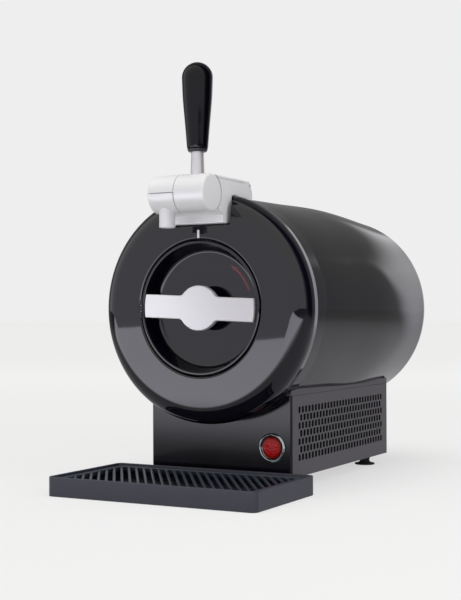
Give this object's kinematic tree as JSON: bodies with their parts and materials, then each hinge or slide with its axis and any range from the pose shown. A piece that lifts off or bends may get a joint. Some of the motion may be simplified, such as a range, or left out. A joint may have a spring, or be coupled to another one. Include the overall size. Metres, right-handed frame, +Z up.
{
  "type": "mini keg beer dispenser",
  "caption": "Countertop dispenser for mini kegs: cooled drum with hinged round door, lever tap, power button, vented base and drip tray.",
  "frame": {"origin": "Middle of the footprint of drum, base and drip tray together, on the table surface.", "axes": "+Z up, +Y towards the back of the drum, +X to the right as seen from the front, where the tap and door are."},
  "size_m": [0.2412, 0.493, 0.4356],
  "materials": {
    "gloss_black": "high gloss, black",
    "satin_black": "satin, black",
    "dark_sheet": "satin paint, dark grey",
    "silver": "satin silver paint",
    "steel": "plain",
    "chrome_ring": "satin chrome",
    "aluminium": "plain",
    "red_lens": "translucent gloss, red",
    "slate": "satin, dark slate",
    "rubber": "matt",
    "foam": "rigid insulating foam",
    "ceramic": "white ceramic faces",
    "board_green": "circuit board"
  },
  "bodies": {
    "machine": {"front_bezel": "gloss_black", "drum_shell": "gloss_black", "door_hinge_pin": "steel", "mouth_ring": "satin_black", "chamber_liner": "aluminium", "insulation_jacket": "foam", "rear_bulkhead": "satin_black", "keg_connector": "satin_black", "base_floor": "satin_black", "drum_saddle": "satin_black", "right_vent_panel": "dark_sheet", "left_vent_panel": "dark_sheet", "front_panel": "satin_black", "rear_panel": "dark_sheet", "rear_panel_screw_1": "steel", "rear_panel_screw_2": "steel", "rear_panel_screw_3": "steel", "rear_panel_screw_4": "steel", "power_inlet": "satin_black", "front_left_foot": "rubber", "rear_left_foot": "rubber", "front_right_foot": "rubber", "rear_right_foot": "rubber", "button_ring": "chrome_ring", "button_switch": "satin_black", "cold_block": "aluminium", "thermoelectric_module": "ceramic", "heat_sink": "aluminium", "fan_frame": "satin_black", "air_pump": "steel", "power_supply": "steel", "control_board": "board_green", "tap_body": "silver", "lid_hinge_bracket": "silver", "lid_hinge_pin": "steel", "spout_nozzle": "silver", "barrel_pivot": "steel"},
    "door": {"door_cup": "gloss_black", "door_seal": "rubber", "door_plug": "foam"},
    "lock_handle": {"handle_bar": "silver", "lock_spindle": "satin_black", "latch_arm": "steel"},
    "tap_lever": {"tap_barrel": "silver", "lever_stem": "silver", "handle_ferrule": "satin_black", "lever_handle": "gloss_black"},
    "tap_cover": {"tap_lid": "silver"},
    "button": {"power_button": "red_lens"},
    "tray": {"drip_tray": "slate"},
    "grille": {"drip_grille": "slate"},
    "fan": {"fan_rotor": "satin_black"}
  },
  "joints": [
    {"name": "door_hinge", "type": "hinge", "parent": "machine", "child": "door", "pos_m": [-0.0703, -0.1435, 0.1875], "axis": [0, 0, -1], "range_deg": [0, 100]},
    {"name": "lock_turn", "type": "hinge", "parent": "door", "child": "lock_handle", "pos_m": [0, -0.1445, 0.1875], "axis": [0, -1, 0], "range_deg": [0, 90]},
    {"name": "lever_pull", "type": "hinge", "parent": "machine", "child": "tap_lever", "pos_m": [0.0153, -0.173, 0.3025], "axis": [1, 0, 0], "range_deg": [0, 55]},
    {"name": "cover_lift", "type": "hinge", "parent": "machine", "child": "tap_cover", "pos_m": [0, -0.0915, 0.3165], "axis": [-1, 0, 0], "range_deg": [0, 75]},
    {"name": "button_press", "type": "slide", "parent": "machine", "child": "button", "axis": [0, 1, 0], "range_m": [0, 0.0018], "stiffness_N_per_m": 1200},
    {"name": "tray_slide", "type": "slide", "parent": "machine", "child": "tray", "axis": [0, -1, 0], "range_m": [0, 0.13]},
    {"name": "grille_lift", "type": "slide", "parent": "tray", "child": "grille", "axis": [0, 0, 1], "range_m": [0, 0.04]},
    {"name": "fan_spin", "type": "hinge", "parent": "machine", "child": "fan", "pos_m": [0.064, 0.0255, 0.0453], "axis": [1, 0, 0], "continuous": true}
  ]
}
